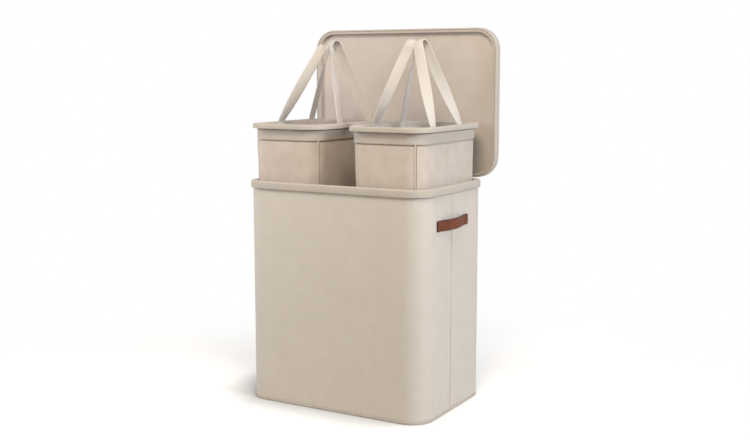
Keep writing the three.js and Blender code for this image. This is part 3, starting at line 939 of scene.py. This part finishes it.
def strapRoute():  # (y, height over the foot) along the whole strap, tails and all
    v = strapValues
    footY = v["spacing"] / 2
    centre = v["length"] - v["apex"]
    start = math.pi / 2 - math.atan2(centre, footY - v["apex"])
    legTop = (v["apex"] * math.cos(start), centre + v["apex"] * math.sin(start))
    half = [(footY, -v["tail"]), (footY, -v["tailStraight"])]
    for step in range(v["bends"] + 1):
        share = step / v["bends"]
        half.append((footY + (legTop[0] - footY) * share, legTop[1] * share))
    for step in range(1, v["bends"]):
        turn = start + (math.pi / 2 - start) * step / v["bends"]
        half.append((v["apex"] * math.cos(turn), centre + v["apex"] * math.sin(turn)))
    return [(-y, z) for y, z in half] + [(0, v["length"])] + half[::-1]


def strapPoint(route, lengths, share):  # the place and the way along at a share of the strap's length
    target = share * lengths[-1]
    for place in range(len(lengths) - 1):
        if target <= lengths[place + 1] or place == len(lengths) - 2:
            part = (target - lengths[place]) / (lengths[place + 1] - lengths[place])
            a, b = Vector(route[place]), Vector(route[place + 1])
            return a.lerp(b, part), (b - a).normalized()


def legTwist(fromFoot, way):  # a leg turns one way soon after its foot, or the other way close to the top
    if way > 0:
        return math.pi / 2 * math.sin(math.pi / 2 * fromFoot)
    return -math.pi / 2 * fromFoot ** strapValues["lateTurn"]


def makeStrap(name, binName, side, outward, lean, middleY, frontWay, backWay):
    v = strapValues
    route = strapRoute()
    lengths = [0.0]
    for a, b in zip(route, route[1:]):
        lengths.append(lengths[-1] + (Vector(b) - Vector(a)).length)
    footX = side * binShape["middleX"] + outward * (binShape["halfX"] - v["inset"])
    angle = math.radians(-outward * lean)
    startFresh()
    bpy.ops.mesh.primitive_grid_add(x_subdivisions=v["across"], y_subdivisions=v["steps"], size=1)
    strap = bpy.context.object
    strap.name = strap.data.name = name
    tailShare = v["tail"] / lengths[-1]
    for layer in strap.data.uv_layers:  # the map is set to metres, across and along the strap
        for corner in layer.data:
            corner.uv = (corner.uv[0] * v["width"], corner.uv[1] * lengths[-1])

    def laid(point):
        share = point.y + 0.5
        (y, height), (stepY, stepZ) = strapPoint(route, lengths, share)
        fromFoot = max(0.0, min(1.0, (min(share, 1 - share) - tailShare) / (0.5 - tailShare)))
        twist = legTwist(fromFoot, backWay if share > 0.5 else frontWay)
        across = Vector((math.sin(twist), math.cos(twist), 0)) * (frontWay * backWay if share > 0.5 else 1)
        inside = Vector((0, stepY, stepZ)).cross(across).normalized() * frontWay
        cup = v["cup"] * fromFoot ** 4 * (2 * point.x) ** 2  # over the top its edges hang down a little
        centre = Vector((0, y, height)) + across * (point.x * v["width"]) + inside * cup
        if height > 0 or centre.z > 0:
            x = centre.x * math.cos(angle) + centre.z * math.sin(angle)
            z = -centre.x * math.sin(angle) + centre.z * math.cos(angle)
            centre = Vector((x, centre.y, z))
        return centre + Vector((footX, middleY, v["foot"]))

    moved(strap, laid)
    thickened(strap, v["thickness"], 0)
    bevelled(strap, v["edgeRound"], 2)
    smoothed(strap, 50)
    place = "outer" if outward == side else "inner"
    nodes = [f"{binName}_bin_{place}_{part}" for part in ("loop", "front_tab", "back_tab")]
    finishedAs(strap, webbingCotton, None, nodes)
    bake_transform(strap)


# The lean in degrees, the place front to back, and which way the front and the back leg turn
makeStrap("leftBinOuterStrap", "left", -1, -1, 26, 35.5 * mm, 1, -1)
makeStrap("leftBinInnerStrap", "left", -1, 1, 18, 35.5 * mm, -1, 1)
makeStrap("rightBinInnerStrap", "right", 1, -1, 19, 30.175 * mm, 1, -1)
makeStrap("rightBinOuterStrap", "right", 1, 1, 20, -14.2 * mm, 1, 1)
print("webbing made")


# The boards stay as they were packed

for nodeName in ("base_board", "front_wall_board", "back_wall_board", "lid_board"):
    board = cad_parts[nodeName]
    board.data.materials.clear()
    board.data.materials.append(fibreboard)
print("boards given their material")


# Floor, light and camera

stageValues = {"floorSize": 14.0, "floorColour": "#F5F5F5", "bounceColour": "#E6E1D9", "lift": 0.24,
               "fadeFrom": 0.55, "fadeTo": 1.3, "shadeReach": 170 * mm, "shadeOpen": 0.93,
               "shadeLean": (0.6, 0.2, 0.77), "ambient": 0.23, "ambientColour": (1.0, 0.96, 0.9, 1.0)}
lampValues = {  # the place, what it faces, the width in metres, watts and colour
    "softboxLeft": ((-1.15, -0.8, 1.1), (-0.1, 0, 0.5), 0.7, 11.6, (0.97, 0.97, 0.99)),
    "softboxRight": ((4.4, -0.35, 2.1), (0.2, 0, 0.5), 1.4, 141, (0.83, 0.88, 0.98)),
    "softboxKey": ((0.6, -1.0, 2.0), (-0.05, 0, 0.7), 0.6, 20.8, (1.0, 0.89, 0.74)),
    "softboxBack": ((-0.4, 2.5, 1.6), (0, 0.1, 0.5), 1.0, 18, (1.0, 0.97, 0.93))}
cameraValues = {"sensor": 36, "lens": 51.67, "shift": 0.0027, "place": (1.5139, -2.5983, 0.9254),
                "tilt": 81.93, "turn": 29.75}


def makeFloor():  # pale, with a soft shade where the hamper closes it in, and white farther away
    v = stageValues
    startFresh()
    bpy.ops.mesh.primitive_plane_add(size=v["floorSize"], location=(0, 0, -0.2 * mm))
    floor = bpy.context.object
    floor.name = "studioFloor"
    settle(floor)
    material, tree, shader = newMaterial("paintedStudioFloor")
    shader.inputs["Roughness"].default_value = 0.9
    shader.inputs["Specular IOR Level"].default_value = 0.0
    rays = addNode(tree, "ShaderNodeLightPath")
    leaning = addNode(tree, "ShaderNodeCombineXYZ", dict(zip("XYZ", v["shadeLean"]))).outputs[0]
    openness = addNode(tree, "ShaderNodeAmbientOcclusion", {"Distance": v["shadeReach"]}, {"Normal": leaning},
                       samples=8).outputs["AO"]
    shade = addNode(tree, "ShaderNodeMapRange", {"From Max": v["shadeOpen"]}, {"Value": openness}).outputs[0]
    shaded = addNode(tree, "ShaderNodeVectorMath", {0: linear(v["floorColour"])[:3]}, {3: shade},
                     operation="SCALE").outputs[0]
    toned = addNode(tree, "ShaderNodeMix", {6: linear(v["bounceColour"])},
                    {0: rays.outputs["Is Camera Ray"], 7: shaded}, data_type="RGBA").outputs[2]
    tree.links.new(toned, shader.inputs["Base Color"])
    seen = addNode(tree, "ShaderNodeMath", {1: v["lift"]}, {0: rays.outputs["Is Camera Ray"]},
                   operation="MULTIPLY").outputs[0]
    seen = addNode(tree, "ShaderNodeMath", links={0: seen, 1: shade}, operation="MULTIPLY").outputs[0]
    tree.links.new(seen, shader.inputs["Emission Strength"])
    shader.inputs["Emission Color"].default_value = (1, 1, 1, 1)
    place = addNode(tree, "ShaderNodeTexCoord").outputs["Object"]
    away = addNode(tree, "ShaderNodeVectorMath", links={0: place}, operation="LENGTH").outputs["Value"]
    far = addNode(tree, "ShaderNodeMapRange", {"From Min": v["fadeFrom"], "From Max": v["fadeTo"]},
                  {"Value": away}, interpolation_type="SMOOTHSTEP").outputs[0]
    fade = addNode(tree, "ShaderNodeMath", links={0: far, 1: rays.outputs["Is Camera Ray"]},
                   operation="MULTIPLY").outputs[0]
    white = addNode(tree, "ShaderNodeEmission", {"Color": (1, 1, 1, 1), "Strength": 1.0}).outputs[0]
    mixed = addNode(tree, "ShaderNodeMixShader", links={0: fade, 1: shader.outputs[0], 2: white}).outputs[0]
    tree.links.new(mixed, tree.nodes["Material Output"].inputs["Surface"])
    floor.data.materials.append(material)


def makeWorld():  # white where it is seen, a dim warm light on the hamper
    v = stageValues
    world = bpy.data.worlds.new("studio")
    bpy.context.scene.world = world
    world.use_nodes = True
    tree = world.node_tree
    rays = addNode(tree, "ShaderNodeLightPath").outputs
    seen = rays["Is Camera Ray"]
    for kind in ("Is Glossy Ray", "Is Transmission Ray"):
        seen = addNode(tree, "ShaderNodeMath", links={0: seen, 1: rays[kind]}, operation="MAXIMUM").outputs[0]
    strength = addNode(tree, "ShaderNodeMapRange", {"To Min": v["ambient"], "To Max": 1.0},
                       {"Value": seen}).outputs[0]
    background = tree.nodes["Background"]
    tint = addNode(tree, "ShaderNodeMix", {6: v["ambientColour"], 7: (1, 1, 1, 1)}, {0: seen},
                   data_type="RGBA").outputs[2]
    tree.links.new(tint, background.inputs["Color"])
    tree.links.new(strength, background.inputs["Strength"])


def addLamp(name, place, target, size, power, colour):
    data = bpy.data.lights.new(name, "AREA")
    data.shape = "SQUARE"
    data.size = size
    data.energy = power
    data.color = colour
    lamp = bpy.data.objects.new(name, data)
    bpy.context.scene.collection.objects.link(lamp)
    lamp.location = place
    lamp.rotation_euler = (Vector(target) - Vector(place)).to_track_quat("-Z", "Y").to_euler()


def addCamera():
    v = cameraValues
    data = bpy.data.cameras.new("photoCamera")
    data.sensor_width = v["sensor"]
    data.lens = v["lens"]
    data.shift_y = v["shift"]
    camera = bpy.data.objects.new("photoCamera", data)
    bpy.context.scene.collection.objects.link(camera)
    camera.location = v["place"]
    camera.rotation_euler = (math.radians(v["tilt"]), 0, math.radians(v["turn"]))
    bpy.context.scene.camera = camera


makeFloor()
makeWorld()
for lampName, values in lampValues.items():
    addLamp(lampName, *values)
addCamera()
bpy.context.scene.view_settings.view_transform = "Standard"
print("floor, light and camera set")
